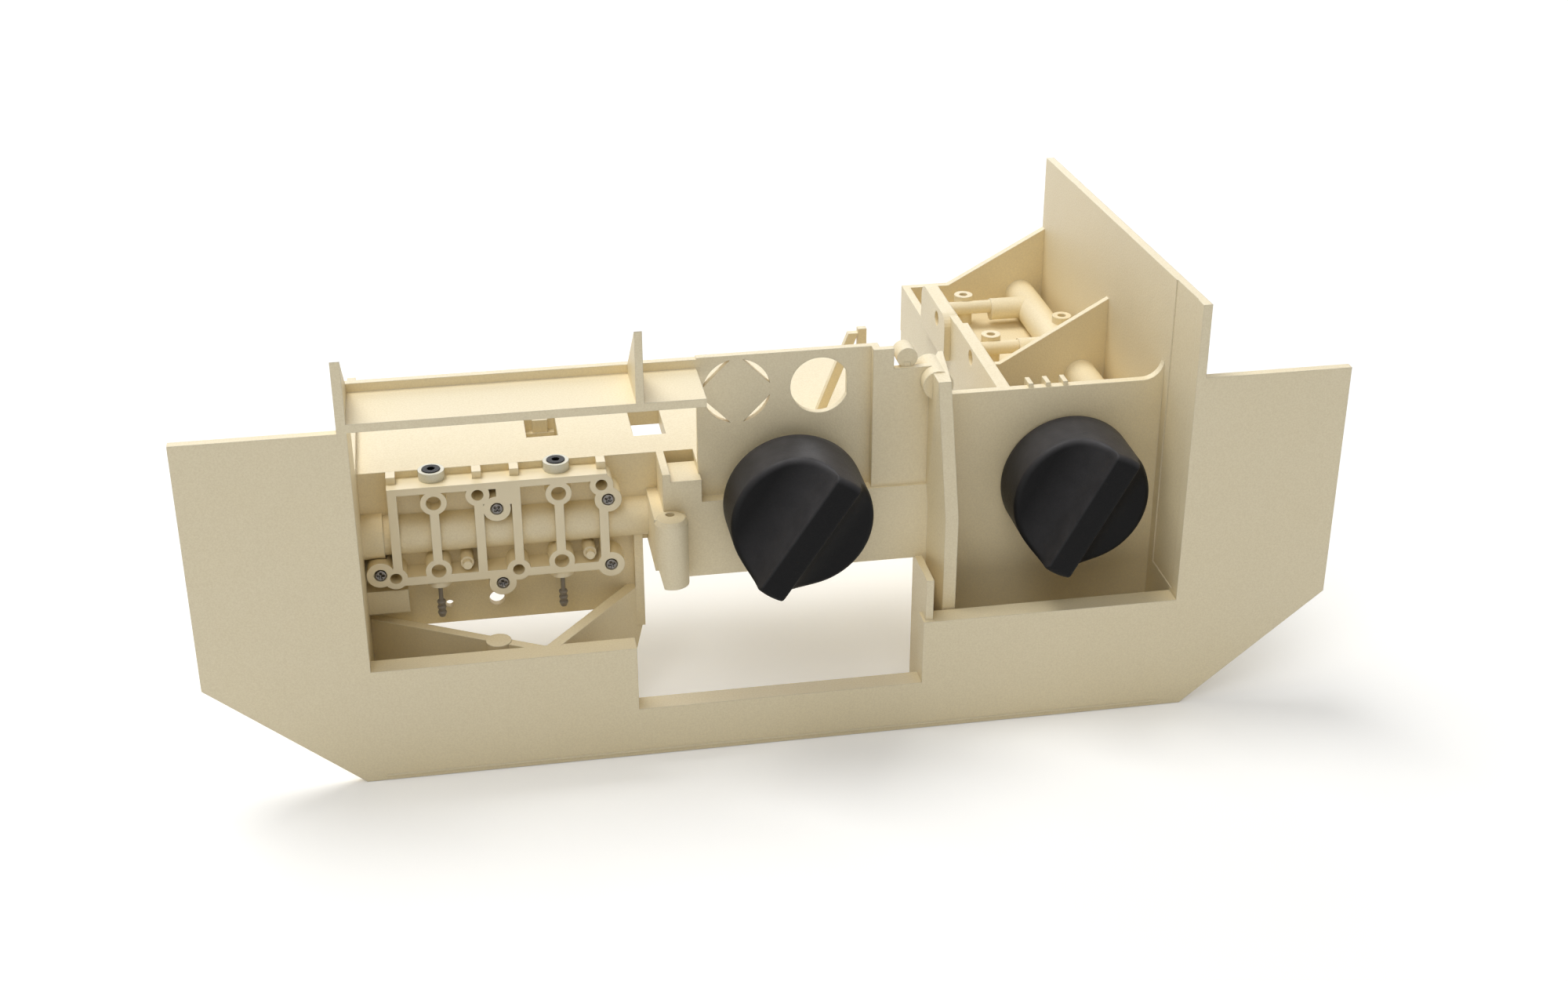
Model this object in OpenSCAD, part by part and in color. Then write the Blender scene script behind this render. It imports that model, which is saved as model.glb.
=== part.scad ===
// Connection block carrier: a moulded front frame with two side walls, a left bay with a
// screwed-on connection block, a centre panel and a right box, and two turning knobs.
// Drawn with X to the right, Y into the depth from the front plate's face, Z up from the base.

/* [Front plate] */
// Overall width across the two wings
plate_w = 376; // [340:1:420]
// Width of the straight bottom edge
base_w = 279; // [276.5:0.5:310]
// Height at which the wings' slanted lower edges end
chamfer_h = 40; // [30:1:55]
// Top of the left wing
wing_top_left = 126; // [110:0.5:126]
// Top of the right wing
wing_top_right = 123.5; // [110:0.5:140]
// Distance between the inner faces of the side walls
bay_w = 270; // [269:0.5:274]
// Thickness of the outer walls
wall = 3; // [2.4:0.1:3.6]
// Top of the band below the openings
band_h = 41.4; // [38:0.2:44]
// Floor of the notch in the band
notch_floor = 18; // [12:0.5:28]
// Left edge of the notch
notch_left = -49.2; // [-52:0.2:-48]
// Right edge of the notch
notch_right = 46.9; // [42:0.1:47.2]
// Depth of the rim that turns back along the band's edges
rim_depth = 7.3; // [5:0.1:7.5]
// Thickness of the rims, ledges and small plates
rim_t = 2.4; // [1.8:0.1:2.8]
// Height of the bead along the bottom of the face
bead_w = 0.7; // [0.4:0.1:1.2]

/* [Side walls] */
// Depth of the right side wall
right_depth = 176; // [170:1:190]
// Depth of the left side wall and of the deck
left_depth = 110; // [95:1:125]
// Top of the right wall at the front
side_top_front = 149; // [140:0.5:156]
// Top of the right wall at the back
side_top_back = 141.5; // [130:0.5:149]
// Tip of the left wall's front fin
fin_tip_left = 149.7; // [142:0.5:156]

/* [Shelf] */
// Top face of the shelf over the left bay
shelf_top = 129; // [127:0.5:130]
// Thickness of the shelf
shelf_t = 2.8; // [2:0.1:3.4]
// Depth of the shelf, which is also the depth of the centre panel's face
shelf_depth = 24; // [23:0.5:26]
// Height of the rail on the shelf's rear edge
rail_h = 3; // [2:0.1:3.5]
// Left face of the fin that stands on the shelf
shelf_fin_x = -46.8; // [-60:0.2:-40]
// Tip of the fin on the shelf
shelf_fin_tip = 153; // [145:0.5:160]

/* [Centre panel] */
// Left edge of the upper centre panel, where the shelf ends
panel_left = -24.8; // [-26:0.1:-24.2]
// Where the panel steps forwards
panel_step = 32.5; // [31.5:0.1:34]
// Right edge of the centre panel
panel_right = 51.2; // [50.8:0.1:52]
// Top edge of the centre panel
panel_top = 132.5; // [132:0.5:140]
// Thickness of the inner plates
plate_t = 2.5; // [2:0.1:2.8]
// How far the stepped strip stands in front of the upper panel
step_fwd = 3.5; // [3:0.1:4]
// How far the lower panel stands in front of the upper panel
lower_fwd = 4.5; // [4.2:0.1:5]
// Top of the lower panel
lower_top = 83.2; // [82:0.2:85]
// Bottom edge of the lower panel
lower_bottom = 55.8; // [52:0.2:58]
// Height of the two round openings
hole_z = 120; // [119:0.2:120.5]
// Place of the knock-out across the panel
knockout_x = -11.8; // [-12.5:0.1:-11]
// Radius of the knock-out
knockout_r = 11.2; // [9:0.1:11.4]
// Width left at the middle of each side of the knock-out's slots
knockout_slot = 2.0; // [1.4:0.1:2.4]
// Place of the flatted opening across the panel
switch_x = 15.6; // [15:0.1:16.4]
// Radius of the flatted opening
switch_r = 9.75; // [8:0.05:10]
// Distance of its flat from its centre
switch_flat = 8.95; // [7.5:0.05:9.2]

/* [Left bay] */
// Front face of the bay's rear wall
bay_y = 37.5; // [36.5:0.5:40]
// Bottom edge of the bay's rear wall
bay_bottom = 36; // [30:0.5:38]
// Top face of the deck
deck_z = 94; // [93:0.5:95]
// Thickness of the deck
deck_t = 2.5; // [2:0.1:3]
// Top of the two slanting ribs
rib_top = 41; // [39.5:0.1:41.2]
// Bottom of the slanting ribs and of the box walls
skirt_z = 8; // [4:0.5:14]
// Left face of the strip that ends the bay's rear wall
end_strip_x = -45.7; // [-46.5:0.1:-44.8]
// Radius of the cross pipe
pipe_r = 7; // [6:0.1:7.3]
// Height of the cross pipe's axis
pipe_z = 71.3; // [70:0.1:72.5]
// Radius of the pipe's end cap
pipe_cap_r = 8; // [7.5:0.1:8.4]

/* [Connection block] */
// Height of the block's top ledge
ledge_top = 91.5; // [90.5:0.1:91.5]
// Distance between the two cells
cell_pitch = 40.6; // [39:0.1:42]
// Axis of the left cell
cell_x = -111; // [-112:0.1:-110]
// How far the block's face stands in front of the bay wall
block_fwd = 8.5; // [8:0.1:10]
// Thickness of the block's ribs
block_rib = 3; // [2.4:0.1:3.2]
// Outer radius of the large bosses
boss_r = 4.3; // [4:0.1:4.6]
// Bore radius of the large bosses
boss_bore_r = 2.45; // [2:0.05:2.8]
// Outer radius of the small bosses
small_boss_r = 3.9; // [3.6:0.1:4.2]
// Bore radius of the small bosses
small_bore_r = 1.95; // [1.6:0.05:2.2]
// Outer radius of the screw bosses
screw_boss_r = 4.5; // [4.2:0.1:4.7]
// Radius of the screw heads
screw_head_r = 1.85; // [1.6:0.05:2.2]
// Radius of the screw shanks
screw_r = 1.2; // [0.9:0.05:1.4]
// Length of the screw shanks
screw_l = 13; // [12:0.5:15]
// Outer radius of the port bushes
bush_r = 4.3; // [4:0.1:4.5]
// Height of the bush's collar above the ledge
bush_h = 3.1; // [2.4:0.1:4]
// Bore radius of the port
port_bore_r = 1.5; // [1.2:0.05:1.8]
// Radius of the hose barbs
barb_r = 1.5; // [1.2:0.1:1.8]
// Lower end of the hose barbs
barb_low = 42.2; // [41.8:0.1:44]
// Radius of the bare stem between a barb and the block
barb_stem_r = 0.75; // [0.6:0.05:1]

/* [Right box] */
// Front face of the box wall
box_y = 30; // [29:0.5:32]
// Top edge of the box wall
box_top = 110.5; // [105:0.5:113]
// Radius of the fillet where that edge meets the side wall
box_fillet = 7; // [5:0.5:9]
// Inner face of the box's left wall
box_left = 59.6; // [59:0.1:61]
// Left face of the wall that the branch pipes start from
pipe_wall_x = 78.1; // [77:0.1:79.5]
// Radius of the bores in that wall
plate_bore_r = 2.8; // [2.2:0.1:3.2]
// Place of the partition in the depth
partition_y = 91; // [85:0.5:97]
// Top of the box's floor
floor_z = 81; // [79:0.5:82]
// Radius of the long pipe
long_pipe_r = 6; // [5:0.1:6.4]
// Radius of the branch pipes
branch_r = 2.5; // [2:0.1:3]

/* [Knobs] */
// Radius of the knobs
knob_r = 23.5; // [20:0.1:24]
// Height of the knob up to its scooped face
knob_rim = 18.3; // [15:0.1:22]
// Height of the grip above the scooped face
grip_h = 12.5; // [9:0.1:15]
// Width of the grip
grip_w = 9.2; // [7:0.1:12]
// Place of the middle knob across the panel
mid_knob_x = 6; // [5:0.1:7]
// Height of the middle knob's axis
mid_knob_z = 82.1; // [81.6:0.1:82.4]
// Place of the right knob across the box wall
right_knob_x = 103.1; // [100:0.1:106]
// Height of the right knob's axis
right_knob_z = 76.2; // [70:0.1:80]
// Angle of the middle grip from straight down
mid_grip_angle = 34; // [0:1:80]
// Angle of the right grip from straight down
right_grip_angle = 28.7; // [0:0.1:80]
// Radius of the spindles
spindle_r = 4; // [3:0.1:5]
// Radius of the spindles' free ends
spindle_end_r = 3; // [2.5:0.1:3]
// Length of the free ends
spindle_end_l = 10; // [8:0.5:16]

/* [Fits] */
// Radial gap of a turning fit
run_gap = 0.05; // [0.02:0.01:0.08]
// Gap between a knob and the face behind it
knob_gap = 0.6; // [0.3:0.1:1]
// Gap round a piece that is only located
loose_gap = 0.3; // [0.2:0.05:0.5]

/* [Hidden] */
$fn = 96;
eps = 0.5;
half_bay = bay_w / 2;
half_plate = plate_w / 2;
half_base = base_w / 2;
panel_y = shelf_depth;
step_y = panel_y - step_fwd;
lower_y = panel_y - lower_fwd;
block_y = bay_y - block_fwd;
bay_back = bay_y + plate_t;
pipe_y = bay_y + 0.3;
cells = [cell_x, cell_x + cell_pitch];
port_y = bay_y - 1.5;
port_bottom = ledge_top - 5.5;
bush_bottom = port_bottom + 2.6;
barb_y = block_y + 2.5;
barb_top = 57.5;
knob_h = knob_rim + grip_h;
mid_knob_y = lower_y - knob_gap;
right_knob_y = box_y - knob_gap;
mid_depth = (right_depth + mid_knob_y - knob_h) / 2;
knob_wall = 2.2;
hub_r = spindle_r + 3.5;
hub_depth = knob_rim - knob_wall;
bearing_r = spindle_r + 4;
bearing_l = 18;
washer_t = 0.8;
ring_t = 1.2;
ring_groove = 0.6;
spindle_in = 14;
spindle_tail = 4;
// X and Z of each boss, from the cell it belongs to
large_bosses = [
    [cells[0], 85.6], [cells[1], 85.6], [cells[0], 60.5], [cells[1], 60.5]
];
small_bosses = [
    [cells[0] + 14.3, 87.3], [cells[1] + 14.2, 87.5],
    [cells[0] - 14.1, 58.9], [cells[0] + 26.2, 58.6]
];
screw_spots = [
    [cells[0] + 20.3, 81.8], [cells[1] + 16.2, 82.0], [cells[0] - 19, 60.6],
    [cells[0] + 20.7, 54.1], [cells[1] + 16.4, 57.7]
];
locating_posts = [[cells[0] + 9.5, 62], [cells[1] + 9.5, 62]];
rib_places = [
    cells[0] - 13.2, cells[0], cells[0] + 14.5, cells[0] + 26.7, cells[1], cells[1] + 14.6
];
// Y and Z of the bores in the right box's left wall
plate_bores = [[69, 106], [109, 105]];
rail_low = 56;
rail_high = 59;
// Pockets through the deck: X and Y ranges, and the lower edge of the skirts behind them
clip_pocket = [[-78.6, -68], [56, 72], 84.5];
plain_pocket = [[-43, -32], [51, 72], 88.1];
clip_bar_top = 89;
// X and Z of the two holes low in the bay's rear wall, and their radii
bay_screw_hole = [-92.4, 43.8, 2.6];
bay_pin_hole = [-108.3, 43.2, 1.35];
// X, Y and top of the bored nipples on the box's floor
nipples = [[99.3, 160, 93], [99.5, 119, 93], [half_bay - 5.5, 127.6, 95]];
nipple_r = 3.6;
// Depth of the shallow panel moulded into the right wall's inner face
wall_relief = 0.35;

// Moves the drawing frame to the middle of the base
module placed() {
    translate([0, -mid_depth, 0]) children();
}

// Box between two values on each axis
module block(x, y, z) {
    translate([x[0], y[0], z[0]]) cube([x[1] - x[0], y[1] - y[0], z[1] - z[0]]);
}

// Upright plate across the width, from an outline in X and Z
module plate_xz(points, y, t) {
    translate([0, y + t, 0]) rotate([90, 0, 0]) linear_extrude(t) polygon(points);
}

// Upright plate along the depth, from an outline in Y and Z
module plate_yz(points, x, t) {
    translate([x, 0, 0]) rotate([90, 0, 90]) linear_extrude(t) polygon(points);
}

module rod_x(y, z, r, x) {
    translate([x[0], y, z]) rotate([0, 90, 0]) cylinder(h = x[1] - x[0], r = r);
}

module rod_y(x, z, r, y) {
    translate([x, y[1], z]) rotate([90, 0, 0]) cylinder(h = y[1] - y[0], r = r);
}

module rod_z(x, y, r, z) {
    translate([x, y, z[0]]) cylinder(h = z[1] - z[0], r = r);
}

// Upright rib between two points of the plan
module plan_rib(p, q, t, z) {
    d = q - p;
    translate([p[0], p[1], z[0]])
        rotate(atan2(d[1], d[0]))
        translate([0, -t / 2, 0])
        cube([norm(d), t, z[1] - z[0]]);
}

// Front face with its two wings, the band and the notch
module front_face() {
    plate_xz([
        [-half_base, 0], [half_base, 0], [half_plate, chamfer_h],
        [half_plate, wing_top_right], [half_bay, wing_top_right],
        [half_bay, band_h], [notch_right, band_h],
        [notch_right, notch_floor], [notch_left, notch_floor],
        [notch_left, band_h], [-half_bay, band_h],
        [-half_bay, wing_top_left], [-half_plate, wing_top_left],
        [-half_plate, chamfer_h]
    ], 0, wall);
    block([-half_bay + 2, half_bay - 4], [-bead_w / 2, wall / 2], [1.4, 1.4 + bead_w]);
}

// Rims that turn back from the band's edges
module band_rims() {
    rim = [0, rim_depth];
    block([-half_base, half_base], rim, [0, rim_t]);
    block([-half_bay - eps, notch_left], rim, [band_h - rim_t, band_h]);
    block([notch_left - rim_t, notch_left], rim, [notch_floor - rim_t, band_h]);
    block([notch_left - rim_t, notch_right + rim_t], rim, [notch_floor - rim_t, notch_floor]);
    block([notch_right, notch_right + rim_t], rim, [notch_floor - rim_t, band_h]);
    block([notch_right, half_bay + eps], rim, [band_h - rim_t, band_h]);
}

module side_walls() {
    plate_yz([
        [0, 0], [right_depth, 0], [right_depth, side_top_back], [0, side_top_front]
    ], half_bay, wall);
    plate_yz([
        [0, 0], [left_depth, 0], [left_depth, deck_z + wall],
        [shelf_depth + 3 * plate_t, deck_z + wall], [shelf_depth + plate_t, shelf_top + rail_h],
        [shelf_depth, shelf_top + rail_h], [0, fin_tip_left]
    ], -half_bay - wall, wall);
}

module shelf() {
    shelf_low = shelf_top - shelf_t;
    rail_top = shelf_top + rail_h;
    rail_back = shelf_depth + plate_t;
    block([-half_bay - eps, panel_left], [0, shelf_depth + eps], [shelf_low, shelf_top]);
    block([-half_bay - eps, panel_left + eps], [shelf_depth, rail_back], [shelf_low, rail_top]);
    plate_yz([
        [0, shelf_low], [rail_back, shelf_low], [rail_back, rail_top],
        [shelf_depth, rail_top], [0, shelf_fin_tip]
    ], shelf_fin_x, plate_t);
}

// Slots that leave the knock-out held by four tabs
module knockout_slots() {
    for (a = [45:90:315])
        intersection() {
            rod_y(knockout_x, hole_z, knockout_r, [panel_y - eps, panel_y + plate_t + eps]);
            translate([knockout_x, panel_y - eps, hole_z])
                rotate([0, a, 0])
                translate([knockout_r - knockout_slot, 0, -knockout_r])
                cube([knockout_slot, plate_t + 2 * eps, 2 * knockout_r]);
        }
}

module switch_opening() {
    difference() {
        rod_y(switch_x, hole_z, switch_r, [panel_y - eps, panel_y + plate_t + eps]);
        block([switch_x + switch_flat, switch_x + switch_r + eps],
              [panel_y - 2 * eps, panel_y + plate_t + 2 * eps],
              [hole_z - switch_r, hole_z + switch_r]);
    }
}

module centre_panel() {
    ledge_low = lower_top - rim_t;
    panel_back = panel_y + plate_t;
    difference() {
        block([panel_left, panel_step + plate_t], [panel_y, panel_back], [ledge_low, panel_top]);
        knockout_slots();
        switch_opening();
    }
    block([panel_step, panel_step + plate_t], [step_y, panel_back], [ledge_low, panel_top]);
    plate_xz([
        [panel_step, ledge_low], [panel_right + plate_t, ledge_low],
        [panel_right + plate_t, panel_top - 7], [panel_step + 6.8, panel_top - 7],
        [panel_step + 6.8, panel_top], [panel_step, panel_top]
    ], step_y, plate_t);
    block([lower_left(), panel_right + plate_t], [lower_y, lower_y + plate_t],
          [lower_bottom, lower_top]);
    block([lower_left(), panel_right + plate_t], [lower_y, panel_back], [ledge_low, lower_top]);
}

function lower_left() = panel_left - 10.7;

// Struts that stand on the deck behind the panel
module panel_struts() {
    strut_y = 60;
    foot = deck_z - deck_t / 2;
    plate_xz([[21, foot], [24.2, foot], [35.8, 122], [32.4, 122]], strut_y, plate_t);
    plate_xz([[35.7, foot], [38.7, foot], [38.7, 123.5], [35.7, 123.5]], strut_y, plate_t);
    rod_y(44, 128.4, 3.4, [step_y + plate_t / 2, 29]);
    block([43, 45], [panel_y - plate_t, 29], [foot, 127]);
}

// Deck behind the bay and the panel, with its two openings
module deck() {
    deck_low = deck_z - deck_t;
    difference() {
        union() {
            block([-half_bay - eps, panel_right + plate_t], [bay_y, left_depth],
                  [deck_low, deck_z]);
            block([panel_left, panel_right + plate_t], [panel_y + eps, bay_y + eps],
                  [deck_low, deck_z]);
        }
        for (p = [clip_pocket, plain_pocket])
            block(p[0], p[1], [deck_low - eps, deck_z + eps]);
    }
    for (p = [clip_pocket, plain_pocket])
        block([p[0][0] - plate_t, p[0][1] + plate_t], [p[1][1], p[1][1] + plate_t],
              [p[2], deck_z - eps]);
    block([plain_pocket[0][1], plain_pocket[0][1] + plate_t],
          [plain_pocket[1][0], plain_pocket[1][1] + eps], [plain_pocket[2], deck_z - eps]);
    clip_plate = [clip_pocket[1][1] - 2, clip_pocket[1][1] + eps];
    block([clip_pocket[0][0] + 2.8, clip_pocket[0][1] - 2.6], clip_plate,
          [clip_pocket[2] + 0.3, deck_z - 0.4]);
    block([clip_pocket[0][0] + 0.4, clip_pocket[0][1] - 0.4],
          [clip_plate[0] - 0.4, clip_plate[1]], [clip_pocket[2] + 0.3, clip_bar_top]);
}

module bay_wall() {
    block([-half_bay - eps, end_strip_x + wall], [bay_y, bay_back], [bay_bottom, deck_z]);
    block([end_strip_x, panel_left + plate_t], [bay_y, bay_back], [62, deck_z]);
    block([end_strip_x, end_strip_x + wall], [bay_y - wall, bay_back], [30, pipe_z]);
    rod_x(pipe_y, pipe_z, pipe_r, [-half_bay + 1, -40]);
    rod_x(pipe_y, pipe_z, pipe_cap_r, [-half_bay - eps, -half_bay + 7]);
    block([-half_bay - eps, -121.5], [31, bay_y + eps], [45, 53.5]);
    for (p = locating_posts) {
        rod_y(p[0], p[1], 2.2, [block_y + 1.6, bay_y + eps]);
        rod_y(p[0], p[1], 1.5, [block_y - 0.6, block_y + 2]);
    }
    for (s = screw_spots)
        rod_y(s[0], s[1], 3.4, [bay_back - eps, bay_back + 5.5]);
}

// What is cut from the bay's rear wall and deck edge
module bay_cuts() {
    for (h = [bay_screw_hole, bay_pin_hole])
        rod_y(h[0], h[1], h[2], [bay_y - eps, bay_back + eps]);
    for (s = screw_spots)
        rod_y(s[0], s[1], screw_r + run_gap, [bay_y - 2 * eps, bay_back + 4.5]);
    for (x = cells)
        rod_z(x, port_y, bush_r + loose_gap, [port_bottom - 1, deck_z + eps]);
}

// Slanting ribs between the band and the bay's rear wall: the right one rises to its end
module bay_ribs() {
    heights = [skirt_z, rib_top];
    plan_rib([-135.6, 37.6], [-77.6, 5.5], 3.2, heights);
    rod_z(-93.4, 13.6, 4.15, [skirt_z - 1, rib_top + 0.3]);
    rib_run = [end_strip_x + wall - 1.8 + 77.2, bay_y + 1 - 5.5];
    translate([-77.2, 5.5, 0])
        rotate(atan2(rib_run[1], rib_run[0]))
        plate_xz([
            [0, skirt_z - 0.5], [norm(rib_run) - 10, skirt_z - 0.5], [norm(rib_run), 30],
            [norm(rib_run), rib_top + 4.2], [0, rib_top + 0.2]
        ], -2, 4);
}

// Hollow box beside the bay, its web and the column with a pin hole
module corner_box() {
    x0 = lower_left() - 1.6;
    difference() {
        block([x0, panel_left + eps], [lower_y, 34], [lower_top - rim_t, ledge_top - 0.2]);
        block([x0 + rim_t, panel_left - 2], [lower_y + 2, 34 + eps], [lower_top, ledge_top - 2.4]);
    }
    block([x0, x0 + plate_t], [lower_y, bay_y + eps], [62, deck_z]);
    block([x0 - 3.7, x0 + 0.2], [14, bay_y + eps], [62, 80.8]);
    difference() {
        union() {
            rod_z(x0 + 1.8, 14.4, 5.6, [57, 79.5]);
            translate([x0 + 1.8, 14.4, 79.5]) cylinder(h = 1.5, r1 = 5.6, r2 = 4.6);
            block([x0 - 3.7, x0 + 7.3], [14.4, lower_y + 1], [57, 79.5]);
        }
        rod_z(x0 + 1.8, 16.6, 1.5, [70, 82]);
        plate_xz([
            [x0 - 8, 50], [x0 - 1.4, 50], [x0 - 1.4, 57], [x0 - 4, 68], [x0 - 8, 68]
        ], 0, lower_y + 2);
    }
}

// Wall between the centre and the right box: its front edge leans to the left at the top
module box_side() {
    face_x = panel_right;
    top_z = panel_top - 7.5;
    plan_low = [
        [face_x, step_y + 1], [box_left - 4.4, 8], [box_left, 8],
        [box_left, box_y + wall], [box_left - 2.6, box_y + wall], [box_left - 3, step_y + 2]
    ];
    plan_top = [
        [face_x, step_y + 1], [face_x, 8], [face_x + 4.2, 8],
        [box_left - 1, box_y + wall], [box_left - 2.6, box_y + wall], [face_x + 2.4, step_y + 2]
    ];
    translate([0, 0, skirt_z]) linear_extrude(75 - skirt_z) polygon(plan_low);
    hull() {
        translate([0, 0, 75]) linear_extrude(0.1) polygon(plan_low);
        translate([0, 0, top_z]) linear_extrude(0.1) polygon(plan_top);
    }
    rod_y(face_x + 1.9, top_z - 4.4, 5, [15.5, 30.4]);
    block([face_x + 2, face_x + 4.5], [step_y, 36], [deck_z - deck_t, top_z - 5]);
    block([notch_right + 1, notch_right + 1 + plate_t], [wall / 2, lower_y + plate_t],
          [skirt_z, lower_bottom + eps]);
    block([notch_right + 1, box_left], [lower_y, lower_y + plate_t], [skirt_z, lower_bottom + eps]);
}

// Front wall of the right box, with a rounded corner and a fillet up the side wall
module box_front() {
    corner = 3.5;
    fillet_arc = [
        for (a = [360:-10:270])
            [half_bay - box_fillet + box_fillet * cos(a), box_top + box_fillet + box_fillet * sin(a)]
    ];
    corner_arc = [
        for (a = [90:15:180])
            [box_left - plate_t + corner + corner * cos(a), box_top - corner + corner * sin(a)]
    ];
    plate_xz(concat(
        [[box_left - plate_t, skirt_z], [half_bay + eps, skirt_z]],
        [[half_bay + eps, box_top + box_fillet]], fillet_arc, corner_arc
    ), box_y, wall);
}

module right_box() {
    box_back = right_depth - wall;
    box_front();
    difference() {
        block([pipe_wall_x, half_bay + eps], [box_y + eps, box_back + eps],
              [floor_z - rim_t, floor_z]);
        block([right_knob_x - 11, right_knob_x + 11], [box_y + wall, partition_y - 1],
              [floor_z - rim_t - eps, floor_z + eps]);
    }
    plate_xz([
        [pipe_wall_x, floor_z - eps], [half_bay + eps, floor_z - eps], [half_bay + eps, 116],
        [95.5, 92.9], [pipe_wall_x, 92.9]
    ], partition_y, plate_t);
    plate_xz([
        [pipe_wall_x, floor_z - 8], [half_bay + eps, floor_z - 8], [half_bay + eps, 113.5],
        [96.5, 92], [pipe_wall_x, 92]
    ], box_back, wall);
    pipe_wall();
    box_pipes();
}

// Left wall of the box, with a thick top in front and two bores behind
module pipe_wall() {
    front_top = box_top - 0.5;
    difference() {
        union() {
            plate_yz([
                [box_y + 1, skirt_z], [right_depth - 1, skirt_z], [right_depth - 1, 92],
                [136, 92], [130, front_top - 0.6], [box_y + 1, front_top]
            ], pipe_wall_x, wall);
            block([pipe_wall_x, pipe_wall_x + 4.5], [box_y + 1, partition_y],
                  [front_top - 7.5, front_top]);
            rear_head(front_top);
        }
        for (p = plate_bores)
            rod_x(p[0], p[1], plate_bore_r, [pipe_wall_x - 3, pipe_wall_x + 5]);
    }
}

// Head round the rear bore: its upper corners are rounded and it stands out to the left
module rear_head(top) {
    corner = 5;
    head = [97, 133];
    round_at = function (y, from) [
        for (a = [from:-15:from - 90]) [y + corner * cos(a), top - corner + corner * sin(a)]
    ];
    plate_yz(concat(
        [[head[0], top - 17]], round_at(head[0] + corner, 180), round_at(head[1] - corner, 90),
        [[head[1], top - 17]]
    ), pipe_wall_x - 2.4, wall + 2);
}

module box_pipes() {
    branch_z = floor_z + 8;
    pipe_x = half_bay - 9;
    rod_y(pipe_x, floor_z + 5.3, long_pipe_r, [box_y + 1, right_depth - 1]);
    for (y = [115, 156]) {
        rod_x(y, branch_z, branch_r, [pipe_wall_x + 1, pipe_x]);
        rod_x(y, branch_z - 1.3, branch_r + 1.7, [109, pipe_x]);
    }
    for (p = nipples)
        difference() {
            rod_z(p[0], p[1], nipple_r, [floor_z - eps, p[2]]);
            rod_z(p[0], p[1], 1.6, [p[2] - 4, p[2] + 1]);
        }
    for (x = [88.9, 94.9, 100.9])
        block([x - 0.8, x + 0.8], [box_y + eps, box_y + wall + 3], [floor_z - eps, box_top + 1.5]);
}

// Bearing bosses for the two spindles
module bearings() {
    rod_y(mid_knob_x, mid_knob_z, bearing_r, [lower_y, lower_y + bearing_l]);
    rod_y(right_knob_x, right_knob_z, bearing_r, [box_y, box_y + bearing_l]);
}

module bearing_bores() {
    rod_y(mid_knob_x, mid_knob_z, spindle_r + run_gap, [lower_y - eps, lower_y + bearing_l + eps]);
    rod_y(right_knob_x, right_knob_z, spindle_r + run_gap, [box_y - eps, box_y + bearing_l + eps]);
}

module carrier() {
    color("ivory") placed() difference() {
        union() {
            front_face();
            band_rims();
            side_walls();
            shelf();
            centre_panel();
            panel_struts();
            deck();
            bay_wall();
            bay_ribs();
            corner_box();
            box_side();
            right_box();
            bearings();
        }
        bay_cuts();
        bearing_bores();
        block([half_bay - eps, half_bay + wall_relief], [5.2, 25.4], [band_h + 1.5, 155]);
    }
}

module block_frame() {
    face = [block_y, bay_y];
    shoulder = cells[1] + 16.5;
    for (x = rib_places)
        block([x - block_rib / 2, x + block_rib / 2], face, [rail_low, ledge_top]);
    block([rib_places[0] - block_rib / 2, rib_places[5] + block_rib / 2], face,
          [ledge_top - rim_t, ledge_top]);
    block([cells[0] - 17, cells[1] + 18], face, [rail_low, rail_high]);
    plate_xz([
        [rib_places[5], ledge_top], [shoulder - 1, ledge_top], [shoulder + 3.8, 82],
        [rib_places[5], 81]
    ], block_y, block_fwd);
    for (p = large_bosses)
        rod_y(p[0], p[1], boss_r, face);
    for (p = small_bosses)
        rod_y(p[0], p[1], small_boss_r, face);
    for (p = screw_spots)
        rod_y(p[0], p[1], screw_boss_r, face);
    block([screw_spots[0][0], rib_places[3]], face, [83.2, ledge_top - eps]);
    for (i = [0, 2, 3, 5])
        block([rib_places[i] - block_rib / 2, rib_places[i] + block_rib / 2],
              [bay_y - 4.5, bay_y], [ledge_top - eps, deck_z]);
    for (x = cells) {
        rod_z(x, port_y, bush_r - 0.2, [port_bottom, ledge_top]);
        rod_z(x, bay_y - 4.1, 3.95, [rail_low - 2.2, rail_low + 1]);
    }
}

module block_cuts() {
    through = [block_y - eps, bay_y + eps];
    for (p = large_bosses)
        rod_y(p[0], p[1], boss_bore_r, [block_y - eps, block_y + 5]);
    for (p = small_bosses)
        rod_y(p[0], p[1], small_bore_r, through);
    for (p = screw_spots) {
        rod_y(p[0], p[1], screw_r + run_gap, through);
        rod_y(p[0], p[1], screw_head_r + loose_gap, [block_y - eps, block_y + 1]);
    }
    rod_x(pipe_y, pipe_z, pipe_r + loose_gap, [-half_bay, -40]);
    rod_x(pipe_y, pipe_z, pipe_cap_r + loose_gap, [-half_bay - eps, -half_bay + 7 + loose_gap]);
    for (x = cells) {
        rod_z(x, port_y, port_bore_r + 1.2 + run_gap, [bush_bottom, ledge_top + eps]);
        rod_z(x, barb_y, 1.3 + run_gap, [rail_low - 4, barb_top]);
    }
    block([-half_bay - eps, -half_bay + loose_gap], through, [50, 70]);
    block([-half_bay - eps, -121.5 + loose_gap], through, [50, 53.5 + loose_gap]);
    for (p = locating_posts)
        rod_y(p[0], p[1], 2.3 + loose_gap, through);
}

module connection_block() {
    color("cornsilk") placed() difference() {
        block_frame();
        block_cuts();
    }
}

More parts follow.
